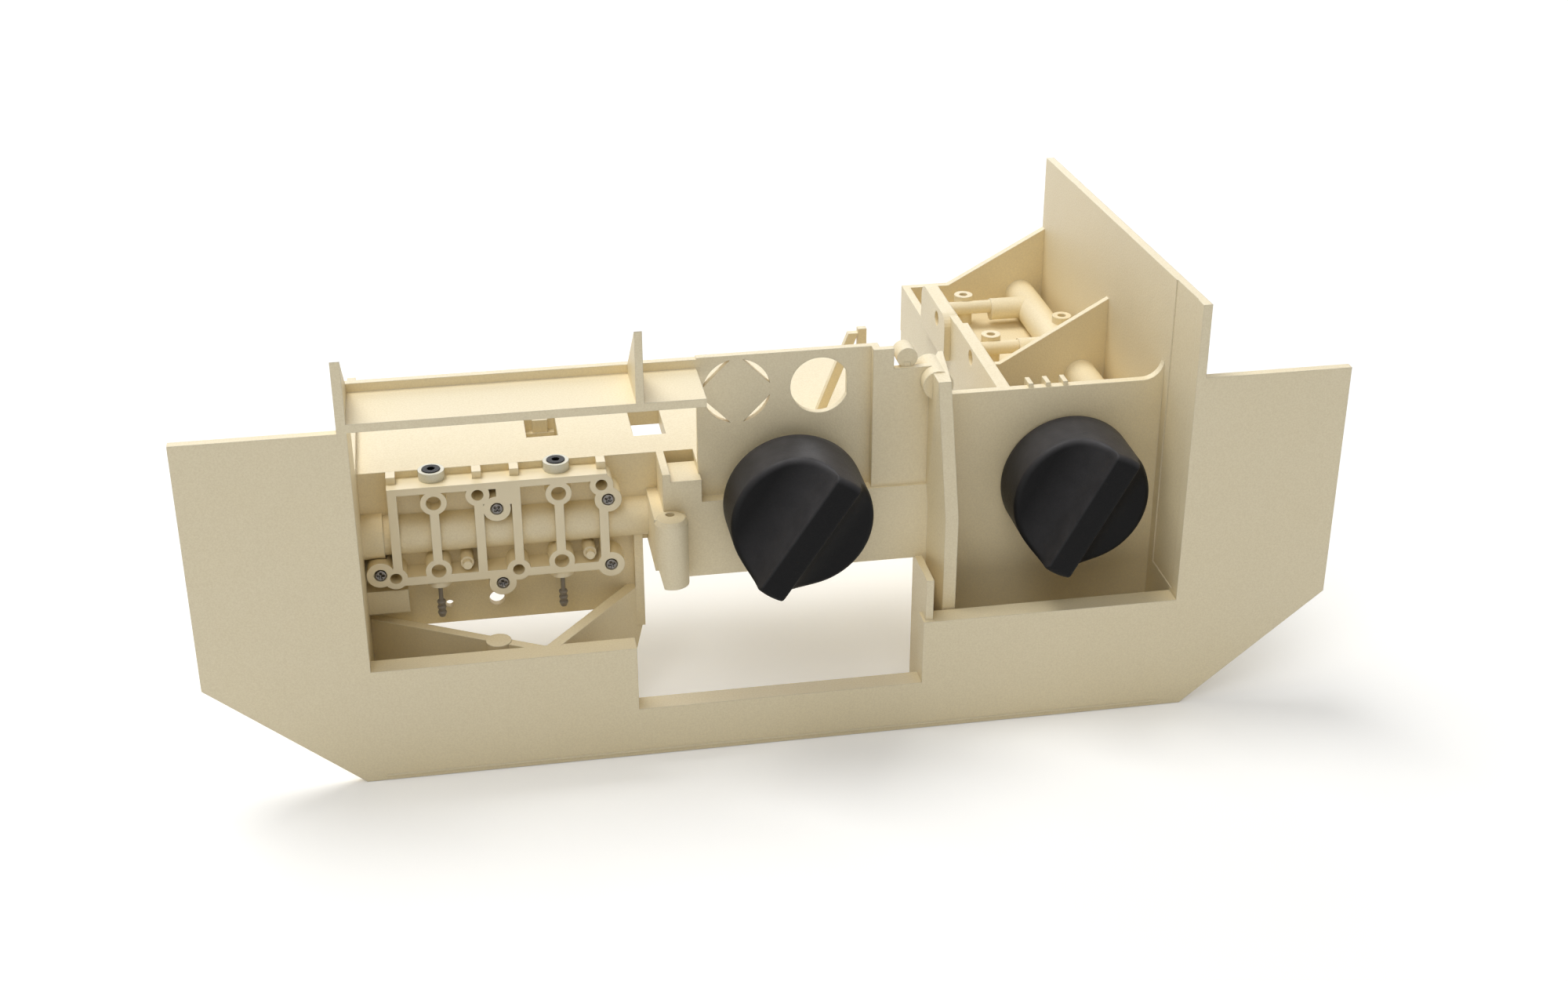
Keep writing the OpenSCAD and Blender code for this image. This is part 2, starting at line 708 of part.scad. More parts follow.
module block_screw(p) {
    difference() {
        union() {
            rod_y(p[0], p[1], screw_head_r, [block_y - 0.4, block_y + 1]);
            rod_y(p[0], p[1], screw_r, [block_y, block_y + screw_l]);
        }
        rod_y(p[0], p[1], screw_head_r * 0.55, [block_y - 1, block_y + 0.3]);
    }
}

module block_screws() {
    color("dimgray") placed() for (p = screw_spots) block_screw(p);
}

// Bush with a collar that lies on the block's ledge
module port_bush(x) {
    color("whitesmoke") placed() difference() {
        union() {
            rod_z(x, port_y, bush_r, [ledge_top, ledge_top + bush_h]);
            rod_z(x, port_y, port_bore_r + 1.2, [bush_bottom, ledge_top + eps]);
        }
        rod_z(x, port_y, port_bore_r, [port_bottom, ledge_top + bush_h + eps]);
        rod_z(x, port_y, port_bore_r + 1.5 + run_gap, [ledge_top + 1, ledge_top + bush_h + eps]);
    }
}

module port_seal(x) {
    color("black") placed() difference() {
        rod_z(x, port_y, port_bore_r + 1.5, [ledge_top + 1, ledge_top + bush_h + 0.3]);
        rod_z(x, port_y, port_bore_r - 0.2, [ledge_top, ledge_top + bush_h + 1]);
    }
}

// Stem in the block's lower rail with a barbed end for a hose
module hose_barb(x) {
    seat_r = 1.3;
    seat_low = rail_low - 0.6;
    pitch = (barb_tip() - barb_low) / 3;
    barb = [for (i = [0:2]) each [
        [barb_r * 0.66, barb_low + i * pitch], [barb_r, barb_low + (i + 0.7) * pitch],
        [barb_r * 0.9, barb_low + (i + 0.9) * pitch]
    ]];
    color("gray") placed() translate([x, barb_y, 0]) rotate_extrude()
        polygon(concat([[0, barb_low]], barb, [
            [barb_stem_r, barb_tip()], [barb_stem_r, seat_low], [seat_r, seat_low],
            [seat_r, barb_top], [0, barb_top]
        ]));
}

function barb_tip() = barb_low + 6.1;

// Scoop beside the grip: a flat face with a round flank up to the grip's top
module grip_scoop() {
    far = knob_r + 1;
    translate([grip_w / 2, 0, knob_rim]) {
        translate([grip_h, -far, 0]) cube([far, 2 * far, grip_h + 1]);
        translate([grip_h, far, grip_h]) rotate([90, 0, 0]) cylinder(h = 2 * far, r = grip_h);
        translate([0, -far, grip_h]) cube([far, 2 * far, 1]);
    }
}

// Knob with its axis on Z, its open side at zero and its grip along Y
module knob() {
    difference() {
        union() {
            cylinder(h = knob_h - 0.8, r = knob_r);
            translate([0, 0, knob_h - 0.8]) cylinder(h = 0.8, r1 = knob_r, r2 = knob_r - 0.8);
        }
        grip_scoop();
        mirror([1, 0, 0]) grip_scoop();
        difference() {
            translate([0, 0, -eps]) cylinder(h = hub_depth + eps, r = knob_r - knob_wall);
            translate([0, 0, -eps]) cylinder(h = hub_depth + 2 * eps, r = hub_r);
        }
        translate([0, 0, -eps]) cylinder(h = spindle_in + 2 * eps, r = spindle_r + run_gap);
    }
}

// Turns a knob's own axes so that it faces the front, with its grip at an angle from straight down
module facing(x, y, z, angle) {
    translate([x, y, z]) rotate([90, 0, 0]) rotate([0, 0, -angle]) children();
}

module mid_knob() {
    color("#202022") placed() facing(mid_knob_x, mid_knob_y, mid_knob_z, mid_grip_angle) knob();
}

module right_knob() {
    color("#202022") placed()
        facing(right_knob_x, right_knob_y, right_knob_z, right_grip_angle) knob();
}

// Spindle from inside the knob, through the bearing, to a reduced free end
module spindle(x, y, z) {
    ring_y = y + knob_gap + bearing_l + washer_t;
    tail = ring_y + ring_t + spindle_tail;
    color("silver") placed() difference() {
        union() {
            rod_y(x, z, spindle_r, [y - spindle_in, tail]);
            rod_y(x, z, spindle_end_r, [tail - eps, tail + spindle_end_l]);
        }
        difference() {
            rod_y(x, z, spindle_r + 1, [ring_y, ring_y + ring_t]);
            rod_y(x, z, spindle_r - ring_groove, [ring_y - eps, ring_y + ring_t + eps]);
        }
    }
}

module mid_spindle() {
    spindle(mid_knob_x, mid_knob_y, mid_knob_z);
}

module right_spindle() {
    spindle(right_knob_x, right_knob_y, right_knob_z);
}

module washer(x, y, z) {
    back = y + knob_gap + bearing_l;
    color("darkgray") placed() difference() {
        rod_y(x, z, bearing_r - 0.5, [back, back + washer_t]);
        rod_y(x, z, spindle_r + run_gap, [back - eps, back + washer_t + eps]);
    }
}

module mid_washer() {
    washer(mid_knob_x, mid_knob_y, mid_knob_z);
}

module right_washer() {
    washer(right_knob_x, right_knob_y, right_knob_z);
}

// Open ring that snaps into the spindle's groove
module retaining_ring(x, y, z) {
    front = y + knob_gap + bearing_l + washer_t;
    color("dimgray") placed() difference() {
        rod_y(x, z, spindle_r + 2, [front, front + ring_t]);
        rod_y(x, z, spindle_r - ring_groove, [front - eps, front + ring_t + eps]);
        block([x - 2, x + 2], [front - eps, front + ring_t + eps], [z - spindle_r - 3, z]);
    }
}

module mid_retaining_ring() {
    retaining_ring(mid_knob_x, mid_knob_y, mid_knob_z);
}

module right_retaining_ring() {
    retaining_ring(right_knob_x, right_knob_y, right_knob_z);
}

carrier();
connection_block();
block_screws();
port_bush(cells[0]);  // left_port_bush
port_bush(cells[1]);  // right_port_bush
port_seal(cells[0]);  // left_port_seal
port_seal(cells[1]);  // right_port_seal
hose_barb(cells[0]);  // left_hose_barb
hose_barb(cells[1]);  // right_hose_barb
mid_knob();
mid_spindle();
mid_washer();
mid_retaining_ring();
right_knob();
right_spindle();
right_washer();
right_retaining_ring();
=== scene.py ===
"""Finishes the connection block carrier.

It gives the moulded pieces their materials, builds the turned knobs and the cross-recess screws,
and sets a plain stage.
"""

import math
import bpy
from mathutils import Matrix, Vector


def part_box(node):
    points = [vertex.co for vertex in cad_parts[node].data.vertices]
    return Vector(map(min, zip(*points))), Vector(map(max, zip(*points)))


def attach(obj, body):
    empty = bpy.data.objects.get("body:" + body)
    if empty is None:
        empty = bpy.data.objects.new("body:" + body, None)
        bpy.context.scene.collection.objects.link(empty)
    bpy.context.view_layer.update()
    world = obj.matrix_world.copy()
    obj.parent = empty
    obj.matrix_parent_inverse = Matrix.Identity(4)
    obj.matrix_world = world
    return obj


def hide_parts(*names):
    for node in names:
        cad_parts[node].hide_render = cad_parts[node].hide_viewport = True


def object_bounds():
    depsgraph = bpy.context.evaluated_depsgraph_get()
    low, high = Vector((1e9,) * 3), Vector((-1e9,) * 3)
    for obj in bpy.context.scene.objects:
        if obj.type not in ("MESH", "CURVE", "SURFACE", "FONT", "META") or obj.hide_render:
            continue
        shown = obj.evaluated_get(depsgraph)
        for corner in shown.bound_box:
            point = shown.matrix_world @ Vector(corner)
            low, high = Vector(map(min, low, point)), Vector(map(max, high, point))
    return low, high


bl_info = {
    "name": "Connection Block Carrier",
    "version": (1, 0, 0),
    "blender": (4, 5, 0),
    "location": "View3D > Sidebar > Carrier",
    "description": "Finishes a moulded carrier with its connection block, ports, screws and knobs",
    "category": "Object",
}

import bmesh
import bpy
import numpy as np
from bpy.props import FloatProperty, FloatVectorProperty, PointerProperty
from bpy.types import Operator, Panel, PropertyGroup

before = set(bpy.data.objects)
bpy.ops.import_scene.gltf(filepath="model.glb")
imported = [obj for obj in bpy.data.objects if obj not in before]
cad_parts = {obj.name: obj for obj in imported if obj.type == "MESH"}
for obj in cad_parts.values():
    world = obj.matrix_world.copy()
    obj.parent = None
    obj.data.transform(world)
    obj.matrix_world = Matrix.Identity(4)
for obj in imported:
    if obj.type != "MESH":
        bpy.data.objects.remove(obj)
CAD_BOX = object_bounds()
MM = 0.001

# Grid steps
HALF_RIDGE_POINTS = 5
CREST_STEPS = 7
FLANK_STEPS = 25
CHORD_POINTS = 97
SKIRT_STEPS = 9
SCREW_STEPS = 96
RECESS_RINGS = 16
BRIM_RINGS = 3
HEAD_ROUND_STEPS = 5
THREAD_POINTS = 70
FLOOR_POINTS = 9

# Knobs: the foot's rounding, and the easing of the inside's edges
FOOT = 0.5 * MM
FOOT_MIDDLE = 0.15 * MM
SKIRT_EASE = 0.3 * MM
HUB_EASE = 0.4 * MM
CORNER = MM

# Screws
HEAD_RADIUS = 1.85 * MM
HEAD_DEPTH = 1.4 * MM
SHANK_RADIUS = 1.2 * MM
SCREW_REACH = 5 * MM
SCREW_TURN = 0.7
RECESS_SHARE = 0.62
TIP_LENGTH = MM
TIP_SHARE = 0.15

# Noise scales, in waves to the metre
WAVE_SCALE = 38.0
BROAD_SCALE = 11.0
CLOUD_SCALE = 70.0
PATCH_SCALE = 160.0
SHADER_SAMPLES = 4

# Stage
FLOOR_DROP = 0.0002
GLOW_SPAN = (0.5, 2.5)
GLOW_STRENGTH = (0.16, 0.9)
WHITE = (1, 1, 1)
SOFT_WHITE = (1, 0.99, 0.97)
CAMERA_PLACE = (-0.10655, -0.68175, 0.40197)
CAMERA_TILT = math.radians(63.25)
CAMERA_TURN = math.radians(-10.03)
SENSOR_WIDTH = 36.0


# ---- settings a user would change

def tint(name, description, default):
    """A colour setting."""
    return FloatVectorProperty(
        name=name, description=description, default=default, subtype="COLOR", size=3, min=0, max=1
    )


def length(name, description, default):
    """A length setting, in metres."""
    return FloatProperty(
        name=name, description=description, default=default, min=0, unit="LENGTH", precision=5
    )


def share(name, description, default):
    """A setting from 0 to 1."""
    return FloatProperty(
        name=name, description=description, default=default, min=0, max=1, subtype="FACTOR"
    )


def watts(name, description, default):
    """A light's power, in watts."""
    return FloatProperty(name=name, description=description, default=default, min=0, unit="POWER")


def grip_turn(name, description, degrees):
    """An angle setting, given in degrees."""
    return FloatProperty(
        name=name, description=description, default=math.radians(degrees), subtype="ANGLE"
    )


class MouldingSettings(PropertyGroup):
    """Ivory moulded plastic of the carrier and the block."""

    ivory: tint("Ivory", "Colour of the moulded faces", (0.87, 0.775, 0.56))
    # The warm tone is painted into recesses as painted shade, and ends the slow random drift of
    # tone.
    drift_and_shade_tone: tint("Warm ivory", "Colour of the recesses and drifts", (0.87, 0.69, 0.33))
    block_ivory: tint("Block ivory", "Colour of the connection block", (0.865, 0.775, 0.57))
    grain: length("Grain", "Size of the spark-eroded grain", 0.0006)
    edge_round: length("Edge round", "Radius that the moulded edges show", 0.00045)
    roughness: share("Roughness", "Roughness between the grains", 0.46)


class KnobSettings(PropertyGroup):
    """Black turned knobs."""

    black: tint("Black", "Colour of the knobs", (0.0045, 0.0045, 0.005))
    # This colour is real dust in the grain and painted light on the faces that look up.
    dust: tint("Dust", "Colour of the fine dust in the grain", (0.12, 0.115, 0.12))
    rim_round: length("Rim round", "Radius round the scooped face's edge", 0.0019)
    ridge_round: length("Ridge round", "Radius along the grip's top", 0.0007)
    grip_width: length("Grip width", "Width of the grip's top", 0.0092)
    grip_height: length("Grip height", "Height of the grip above the scooped face", 0.0125)
    wall: length("Wall", "Thickness of the knob's skirt", 0.0022)
    hub_radius: length("Hub radius", "Radius of the hub inside the knob", 0.0075)
    bore_radius: length("Bore radius", "Radius of the spindle's bore", 0.00405)
    bore_depth: length("Bore depth", "Depth of the spindle's bore", 0.0145)
    mid_turn: grip_turn("Middle grip", "Angle of the middle grip from straight down", 34)
    right_turn: grip_turn("Right grip", "Angle of the right grip from straight down", 28.7)


class ScrewSettings(PropertyGroup):
    """Screws of the connection block."""

    steel: tint("Steel", "Colour of the darkened steel", (0.21, 0.20, 0.19))
    head_round: length("Head round", "Radius round the head's edge", 0.00035)
    recess_width: length("Recess width", "Width of the cross recess", 0.00062)
    recess_depth: length("Recess depth", "Depth of the cross recess", 0.0008)
    thread_pitch: length("Thread pitch", "Pitch of the thread", 0.0012)
    thread_depth: length("Thread depth", "Depth of the thread", 0.00016)


class FittingSettings(PropertyGroup):
    """Ports, barbs and the turning parts behind the panels."""

    bush: tint("Bush", "Colour of the port bushes", (0.74, 0.72, 0.61))
    seal: tint("Seal", "Colour of the rubber seals", (0.012, 0.012, 0.015))
    barb: tint("Barb", "Colour of the hose barbs", (0.24, 0.21, 0.17))
    steel: tint("Steel", "Colour of the spindles, washers and rings", (0.56, 0.55, 0.53))


class StageSettings(PropertyGroup):
    """Floor, lights and camera."""

    floor: tint("Floor", "Colour of the floor", (0.93, 0.93, 0.92))
    floor_size: length("Floor size", "Side of the floor", 12.0)
    overhead: watts("Overhead", "Power of the soft light above", 72.0)
    behind: watts("Behind", "Power of the soft light behind", 24.0)
    front: watts("Front", "Power of the soft light in front", 28.0)
    surround: FloatProperty(
        name="Surround", description="Strength of the light from all round", default=0.23, min=0
    )
    lens: FloatProperty(
        name="Lens", description="Focal length in millimetres", default=49.09, min=1
    )


# ---- meshes

def join_grids(parts):
    """Joins (points, faces) pairs into one pair, with the later faces' numbers moved up."""
    points, faces, base = [], [], 0
    for p, f in parts:
        points.append(p)
        faces.append(f + base)
        base += len(p)
    return np.vstack(points), np.vstack(faces)


def grid_faces(rows, columns, closed):
    """Quads between the points of a grid, row by row; closed joins the last column to the first."""
    i = np.arange(rows - 1)[:, None]
    j = np.arange(columns if closed else columns - 1)[None, :]
    k = (j + 1) % columns
    here, below = i * columns, (i + 1) * columns
    return np.stack([here + j, here + k, below + k, below + j], -1).reshape(-1, 4)


def piece(name, points, faces, body, material, sharp=30.0):
    """A mesh object from points in metres in the row frame, welded, with its normals outwards."""
    mesh = bpy.data.meshes.new(name)
    mesh.from_pydata(points.tolist(), [], faces.tolist())
    obj = bpy.data.objects.new(name, mesh)
    bpy.context.scene.collection.objects.link(obj)
    weld(mesh)
    mesh.polygons.foreach_set("use_smooth", np.ones(len(mesh.polygons), bool))
    mesh.set_sharp_from_angle(angle=math.radians(sharp))
    mesh.materials.append(material)
    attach(obj, body)
    return obj


def weld(mesh):
    """Merges the doubles of a closed mesh and turns its faces outwards."""
    bm = bmesh.new()
    bm.from_mesh(mesh)
    bmesh.ops.remove_doubles(bm, verts=bm.verts, dist=1e-7)
    bmesh.ops.dissolve_degenerate(bm, edges=bm.edges, dist=1e-8)
    bmesh.ops.recalc_face_normals(bm, faces=bm.faces)
    bm.to_mesh(mesh)
    bm.free()
    mesh.update()


# ---- knobs

def knob_profile(s):
    """Across the grip: (x, height above the scooped face) from the middle of the ridge to the rim.

    A flat half ridge, a convex quarter round, a concave quarter round down to the face, then the
    flat face out to the rim, with the steps getting smaller towards it.
    """
    half, tall, soft, radius = s.grip_width / 2, s.grip_height, s.ridge_round, s.radius
    across = np.linspace(0, half - soft, HALF_RIDGE_POINTS)
    flat = np.stack([across, np.full(HALF_RIDGE_POINTS, tall)], 1)
    a = np.linspace(0, math.pi / 2, CREST_STEPS + 1)[1:]
    crest = np.stack([half - soft + soft * np.sin(a), tall - soft + soft * np.cos(a)], 1)
    b = np.linspace(math.asin(soft / tall), math.pi / 2, FLANK_STEPS + 1)[1:]
    flank = np.stack([half + tall * (1 - np.cos(b)), tall * (1 - np.sin(b))], 1)
    start = flank[-1, 0]
    c = np.linspace(0, math.pi / 2, FLANK_STEPS + 1)[1:]
    face = np.stack([start + (radius - start) * np.sin(c), np.zeros(FLANK_STEPS)], 1)
    return np.vstack([flat, crest, flank, face])


class KnobShape:
    """Sizes of one knob in metres, read from its CAD box and the settings."""

    def __init__(self, node, settings, turn):
        low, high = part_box(node)
        self.radius = (high.x - low.x) / 2
        self.height = high.y - low.y
        self.centre = np.array([(low.x + high.x) / 2, high.y, (low.z + high.z) / 2])
        self.turn = turn
        self.grip_width = settings.grip_width
        self.grip_height = settings.grip_height
        self.ridge_round = settings.ridge_round
        self.rim_round = settings.rim_round
        self.face = self.height - settings.grip_height
        self.wall = settings.wall
        self.hub_radius = settings.hub_radius
        self.bore_radius = settings.bore_radius
        self.bore_depth = settings.bore_depth


def knob_inside(s):
    """Skirt's foot and the knob's inside, as (radius, height) from the foot to the bore's end."""
    inner = s.radius - s.wall
    deep = s.face - s.wall
    return (
        (s.radius - FOOT_MIDDLE, FOOT_MIDDLE), (s.radius - FOOT, 0),
        (inner + SKIRT_EASE, 0), (inner, SKIRT_EASE),
        (inner, deep - CORNER), (inner - CORNER, deep),
        (s.hub_radius + CORNER, deep), (s.hub_radius, deep - CORNER),
        (s.hub_radius, HUB_EASE), (s.hub_radius - HUB_EASE, 0),
        (s.bore_radius + SKIRT_EASE, 0), (s.bore_radius, SKIRT_EASE),
        (s.bore_radius, s.bore_depth), (0, s.bore_depth),
    )


def knob_mesh(s):
    """Points and faces of a knob.

    The top is a height over the disc: a column at each x of the profile, and along it y = t times
    the chord's half. Near the rim the height falls by rim_round minus the quarter round's height
    there. The skirt runs down from the rim's points, and the inside is rings of falling radius.
    """
    half = knob_profile(s)
    x = np.concatenate([-half[:0:-1, 0], half[:, 0]])
    top = np.concatenate([half[:0:-1, 1], half[:, 1]]) + s.face
    t = np.sin(np.linspace(-math.pi / 2, math.pi / 2, CHORD_POINTS))
    chord = np.sqrt(np.clip(s.radius**2 - x**2, 0, None))
    y = t[:, None] * chord[None, :]
    xx = np.broadcast_to(x, y.shape)
    into = np.clip(np.hypot(xx, y) - (s.radius - s.rim_round), 0, s.rim_round)
    drop = s.rim_round - np.sqrt(np.clip(s.rim_round**2 - into**2, 0, None))
    z = top[None, :] - drop
    cap = np.stack([xx, y, z], -1)
    rim = np.vstack([cap[-1], cap[0, -2:0:-1]])
    flat_rim = rim[:, :2] / s.radius
    rows = [rim]
    for w in np.linspace(0, 1, SKIRT_STEPS + 1)[1:]:
        rows.append(np.column_stack([rim[:, :2], rim[:, 2] * (1 - w) + FOOT * w]))
    for r, h in knob_inside(s):
        rows.append(np.column_stack([flat_rim * r, np.full(len(rim), h)]))
    sides = np.array(rows).reshape(-1, 3)
    points, faces = join_grids([
        (cap.reshape(-1, 3), grid_faces(len(t), len(x), False)),
        (sides, grid_faces(len(rows), len(rim), True)),
    ])
    c, d = math.cos(s.turn), math.sin(s.turn)
    turned = np.stack([
        points[:, 0] * c + points[:, 1] * d, -points[:, 2], -points[:, 0] * d + points[:, 1] * c
    ], 1)
    return turned + s.centre, faces


# ---- screws

def ring(angle, radius, height):
    """One ring of points round the screw's axis."""
    return np.column_stack([radius * np.cos(angle), radius * np.sin(angle), angle * 0 + height])


def screw_mesh(centre, front, back, s, turn):
    """A screw that points along +Y: a round head with a cross recess, and a threaded shank.

    The head's face is a polar grid whose depth is the recess times a smooth cross mask. The shank's
    radius follows a triangle wave of (height over pitch minus angle over a full turn).
    """
    angle = np.linspace(0, 2 * math.pi, SCREW_STEPS, endpoint=False)
    radius, soft = HEAD_RADIUS, s.head_round
    shares = np.concatenate([
        np.linspace(0, 0.72, RECESS_RINGS), np.linspace(0.78, 1 - soft / radius, BRIM_RINGS)
    ])
    rings = shares * radius
    x = rings[:, None] * np.cos(angle + turn)
    y = rings[:, None] * np.sin(angle + turn)
    near = np.minimum(np.abs(x), np.abs(y)) / (s.recess_width / 2)
    reach = rings[:, None] / (RECESS_SHARE * radius)
    cross = 1 / (1 + np.clip(near, 0, 8) ** 8) / (1 + reach**14)
    h = -s.recess_depth * cross * (1 - 0.45 * np.clip(reach, 0, 1))
    rows = [ring(angle, r, depth) for r, depth in zip(rings, h)]
    rows += [
        ring(angle, radius - soft * (1 - math.sin(a)), -soft * (1 - math.cos(a)))
        for a in np.linspace(0, math.pi / 2, HEAD_ROUND_STEPS + 1)[1:]
    ]
    rows += [ring(angle, radius, -HEAD_DEPTH), ring(angle, SHANK_RADIUS, -HEAD_DEPTH)]
    thread = np.linspace(-HEAD_DEPTH, -(back - front), THREAD_POINTS)[1:]
    wave = 2 * np.abs((thread[:, None] / s.thread_pitch - angle / (2 * math.pi)) % 1 - 0.5)
    tip = np.clip((back - front + thread) / TIP_LENGTH, TIP_SHARE, 1)
    radii = (SHANK_RADIUS - s.thread_depth * wave) * tip[:, None]
    rows += [ring(angle, r, z) for r, z in zip(radii, thread)]
    rows.append(ring(angle, 0, -(back - front)))
    local = np.array(rows).reshape(-1, 3)
    points = np.stack(
        [centre[0] + local[:, 0], front - local[:, 2], centre[1] + local[:, 1]], 1
    )
    return points, grid_faces(len(rows), SCREW_STEPS, True)


def solid_centres(node):
    """Middle in X and Z of each separate solid of a CAD node, left to right.

    Points that lie within SCREW_REACH of a solid's first point in X and Z belong to it.
    """
    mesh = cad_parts[node].data
    co = np.empty(len(mesh.vertices) * 3)
    mesh.vertices.foreach_get("co", co)
    co = np.unique(np.round(co.reshape(-1, 3), 5), axis=0)
    left = list(range(len(co)))
    found = []
    while left:
        seed = co[left[0]]
        near = [i for i in left if np.hypot(*(co[i, [0, 2]] - seed[[0, 2]])) < SCREW_REACH]
        p = co[near]
        found.append([(p[:, 0].min() + p[:, 0].max()) / 2, (p[:, 2].min() + p[:, 2].max()) / 2])
        left = [i for i in left if i not in set(near)]
    return sorted(found)


# ---- shader groups

FLOAT, COLOR, VECTOR = "NodeSocketFloat", "NodeSocketColor", "NodeSocketVector"


class Tree:
    """Short calls to add nodes to a tree and link them."""

    def __init__(self, tree):
        self.tree = tree

    def fill(self, node, values):
        """Links or sets a node's inputs; values maps a socket to a value or an output socket."""
        for socket, value in values.items():
            if isinstance(value, bpy.types.NodeSocket):
                self.link(value, node.inputs[socket])
            else:
                node.inputs[socket].default_value = value
        return node

    def link(self, source, target):
        """Links an output socket to an input socket."""
        self.tree.links.new(source, target)

    def add(self, kind, values=None, **settings):
        """A node with its settings and its inputs' values."""
        node = self.tree.nodes.new("ShaderNode" + kind)
        for key, value in settings.items():
            setattr(node, key, value)
        return self.fill(node, values or {})

    def math(self, operation, a, b=0.0, clamp=False):
        """The output of a Math node."""
        return self.add("Math", {0: a, 1: b}, operation=operation, use_clamp=clamp).outputs[0]

    def mix(self, factor, a, b):
        """The colour output of a Mix node: 6 and 7 are its colour inputs."""
        return self.add("Mix", {0: factor, 6: a, 7: b}, data_type="RGBA").outputs[2]

    def spread(self, value, low, high, out_low=0.0, out_high=1.0):
        """The output of a Map Range node."""
        values = {0: value, 1: low, 2: high, 3: out_low, 4: out_high}
        return self.add("MapRange", values).outputs[0]

    def noise(self, place, scale, detail, roughness=0.5):
        """The output of a Noise Texture node."""
        values = {"Vector": place, "Scale": scale, "Detail": detail, "Roughness": roughness}
        return self.add("TexNoise", values).outputs[0]

    def group(self, group, values):
        """The outputs of a group node with its values."""
        return self.add("Group", values, node_tree=group).outputs


def shader_group(name, inputs, outputs):
    """A new group with its sockets, as (Tree, its input node's sockets, its output node)."""
    found = bpy.data.node_groups.get(name)
    if found:
        bpy.data.node_groups.remove(found)
    g = bpy.data.node_groups.new(name, "ShaderNodeTree")
    for label, kind, value in inputs:
        g.interface.new_socket(label, in_out="INPUT", socket_type=kind).default_value = value
    for label, kind in outputs:
        g.interface.new_socket(label, in_out="OUTPUT", socket_type=kind)
    start, end = g.nodes.new("NodeGroupInput"), g.nodes.new("NodeGroupOutput")
    return Tree(g), start.outputs, end.inputs


def grain_group():
    """Spark-eroded grain: noise, pits and a moulded face's slow waves, as a height in grains."""
    t, given, out = shader_group(
        "moulded_grain",
        [("Size", FLOAT, 0.0005), ("Pits", FLOAT, 0.5), ("Waves", FLOAT, 0.5)],
        [("Height", FLOAT), ("Speck", FLOAT)],
    )
    place = t.add("TexCoord").outputs["Object"]
    per_metre = t.math("DIVIDE", 1.0, given["Size"])
    fine = t.noise(place, per_metre, 3.0, 0.62)
    coarse = t.math("MULTIPLY", per_metre, 0.8)
    pit = t.add("TexVoronoi", {"Vector": place, "Scale": coarse}).outputs["Distance"]
    wave = t.noise(place, WAVE_SCALE, 2.0)
    height = t.math("ADD", fine, t.math("MULTIPLY", pit, given["Pits"]))
    slow = t.math("MULTIPLY", wave, given["Waves"])
    t.link(t.math("ADD", height, slow), out["Height"])
    t.link(t.spread(fine, 0.35, 0.68), out["Speck"])
    return t.tree


def edge_group():
    """Rounded edges: the normal averaged over a radius, and how far it turns from the face's, which
    masks the painted edge highlight.
    """
    t, given, out = shader_group(
        "rounded_edges", [("Radius", FLOAT, 0.0005)], [("Normal", VECTOR), ("Edge", FLOAT)]
    )
    soft = t.add("Bevel", {"Radius": given["Radius"]}, samples=SHADER_SAMPLES).outputs[0]
    face = t.add("NewGeometry").outputs["Normal"]
    dot = t.add("VectorMath", {0: soft, 1: face}, operation="DOT_PRODUCT").outputs["Value"]
    t.link(soft, out["Normal"])
    t.link(t.spread(dot, 0.995, 0.80), out["Edge"])
    return t.tree


def drift_and_painted_shade_group():
    """Slow drift between two tones, and the warmer tone painted where faces close in on each other
    as painted shade.
    """
    t, given, out = shader_group(
        "tone_drift_and_painted_shade",
        [
            ("Tone", COLOR, (0.8, 0.8, 0.8, 1)), ("Warm", COLOR, (0.7, 0.6, 0.4, 1)),
            ("Drift", FLOAT, 0.2), ("Recess", FLOAT, 0.5), ("Reach", FLOAT, 0.03),
        ],
        [("Color", COLOR)],
    )
    place = t.add("TexCoord").outputs["Object"]
    broad = t.math("MULTIPLY", t.noise(place, BROAD_SCALE, 3.0), 0.65)
    cloud = t.math("MULTIPLY", t.noise(place, CLOUD_SCALE, 5.0, 0.6), 0.35)
    slow = t.spread(t.math("ADD", broad, cloud), 0.38, 0.66)
    # Painted shade: ambient occlusion mixes the warm tone into recesses and corners.
    shade_occlusion = t.add("AmbientOcclusion", {"Distance": given["Reach"]}, samples=SHADER_SAMPLES)
    closed = t.spread(shade_occlusion.outputs["AO"], 0.85, 0.25)
    drift = t.math("MULTIPLY", slow, given["Drift"])
    drift_and_shade = t.math("ADD", drift, t.math("MULTIPLY", closed, given["Recess"]), clamp=True)
    t.link(t.mix(drift_and_shade, given["Tone"], given["Warm"]), out["Color"])
    return t.tree


def dust_group():
    """Fine dust in the grain, and a lighter tone on faces that look up which is real dust and
    painted light from above, as a mask.
    """
    t, given, out = shader_group(
        "fine_dust", [("Amount", FLOAT, 0.3), ("Speck", FLOAT, 0.5)], [("Mask", FLOAT)]
    )
    place = t.add("TexCoord").outputs["Object"]
    up = t.add("SeparateXYZ", {0: t.add("NewGeometry").outputs["Normal"]}).outputs["Z"]
    patch = t.spread(t.noise(place, PATCH_SCALE, 4.0), 0.3, 0.7, 0.7, 1.0)
    # Painted light from above together with dust: faces that look up get the lighter tone.
    top_dust_and_light = t.math("MULTIPLY", t.spread(up, 0.0, 0.85), patch)
    in_grain = t.math("MULTIPLY", given["Speck"], 0.06)
    both = t.math("ADD", t.math("MULTIPLY", top_dust_and_light, 0.94), in_grain)
    t.link(t.math("MULTIPLY", both, given["Amount"], clamp=True), out["Mask"])
    return t.tree


